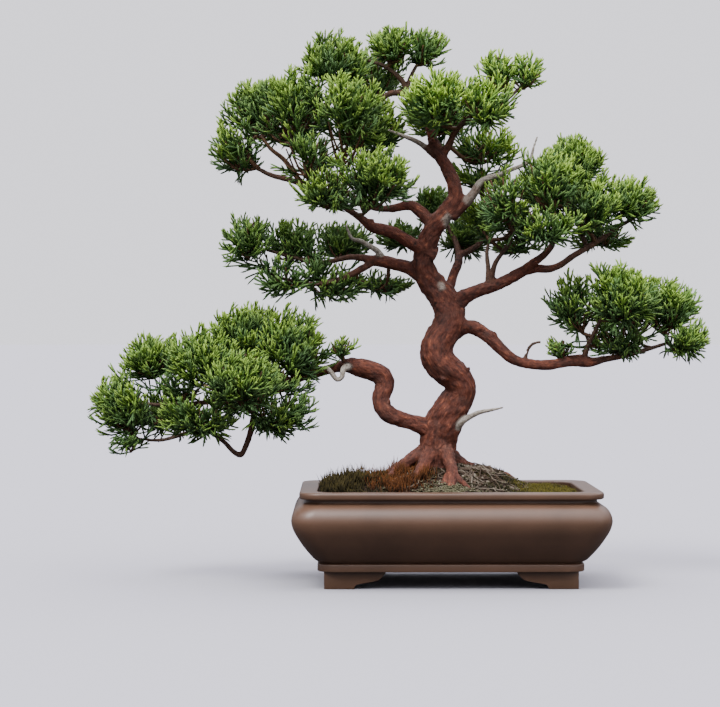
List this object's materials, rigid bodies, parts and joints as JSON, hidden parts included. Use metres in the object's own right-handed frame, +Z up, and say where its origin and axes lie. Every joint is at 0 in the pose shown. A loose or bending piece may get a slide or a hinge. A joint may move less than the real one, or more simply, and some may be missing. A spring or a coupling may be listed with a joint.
{
  "type": "juniper bonsai",
  "caption": "Juniper bonsai with a twisting reddish trunk, bleached dead ends and tiered green foliage pads, in a low unglazed rectangular pot on scroll feet.",
  "frame": {"origin": "bottom centre of the whole object's box, on the surface that the pot stands on", "axes": "+Z up, +X to the viewer's right from the front, +Y away from the viewer"},
  "size_m": [0.4652, 0.1708, 0.4318],
  "materials": {
    "fired_clay": "satin",
    "plastic_mesh": "matte",
    "soil": "matte",
    "bark": "matte",
    "deadwood": "matte",
    "juniper_foliage": "matte",
    "moss": "matte"
  },
  "bodies": {
    "root": {"pot": "fired_clay", "drain_screen_left": "plastic_mesh", "drain_screen_right": "plastic_mesh", "soil": "soil", "wood": "bark", "foliage_low_left_1": "juniper_foliage", "foliage_low_left_2": "juniper_foliage", "foliage_low_left_3": "juniper_foliage", "foliage_low_left_4": "juniper_foliage", "foliage_low_left_5": "juniper_foliage", "foliage_low_left_6": "juniper_foliage", "foliage_low_left_7": "juniper_foliage", "foliage_low_left_8": "juniper_foliage", "foliage_low_left_9": "juniper_foliage", "foliage_low_left_10": "juniper_foliage", "foliage_low_left_11": "juniper_foliage", "foliage_low_left_12": "juniper_foliage", "foliage_left_middle_1": "juniper_foliage", "foliage_left_middle_2": "juniper_foliage", "foliage_left_middle_3": "juniper_foliage", "foliage_left_middle_4": "juniper_foliage", "foliage_left_middle_5": "juniper_foliage", "foliage_left_middle_6": "juniper_foliage", "foliage_upper_left_1": "juniper_foliage", "foliage_upper_left_2": "juniper_foliage", "foliage_upper_left_3": "juniper_foliage", "foliage_upper_left_4": "juniper_foliage", "foliage_upper_left_5": "juniper_foliage", "foliage_upper_left_6": "juniper_foliage", "foliage_upper_left_7": "juniper_foliage", "foliage_upper_left_8": "juniper_foliage", "foliage_upper_left_9": "juniper_foliage", "foliage_upper_left_10": "juniper_foliage", "foliage_upper_left_11": "juniper_foliage", "foliage_top_1": "juniper_foliage", "foliage_top_2": "juniper_foliage", "foliage_crown_right_1": "juniper_foliage", "foliage_crown_right_2": "juniper_foliage", "foliage_crown_right_3": "juniper_foliage", "foliage_crown_right_4": "juniper_foliage", "foliage_crown_right_5": "juniper_foliage", "foliage_crown_right_6": "juniper_foliage", "foliage_right_1": "juniper_foliage", "foliage_right_2": "juniper_foliage", "foliage_right_3": "juniper_foliage", "foliage_right_4": "juniper_foliage", "foliage_right_5": "juniper_foliage", "foliage_right_6": "juniper_foliage", "foliage_right_7": "juniper_foliage", "foliage_right_8": "juniper_foliage", "foliage_right_low_1": "juniper_foliage", "foliage_right_low_2": "juniper_foliage", "foliage_right_low_3": "juniper_foliage", "foliage_right_low_4": "juniper_foliage", "foliage_right_low_5": "juniper_foliage", "foliage_right_low_6": "juniper_foliage", "foliage_back_1": "juniper_foliage", "foliage_back_2": "juniper_foliage", "foliage_back_3": "juniper_foliage"}
  },
  "joints": []
}
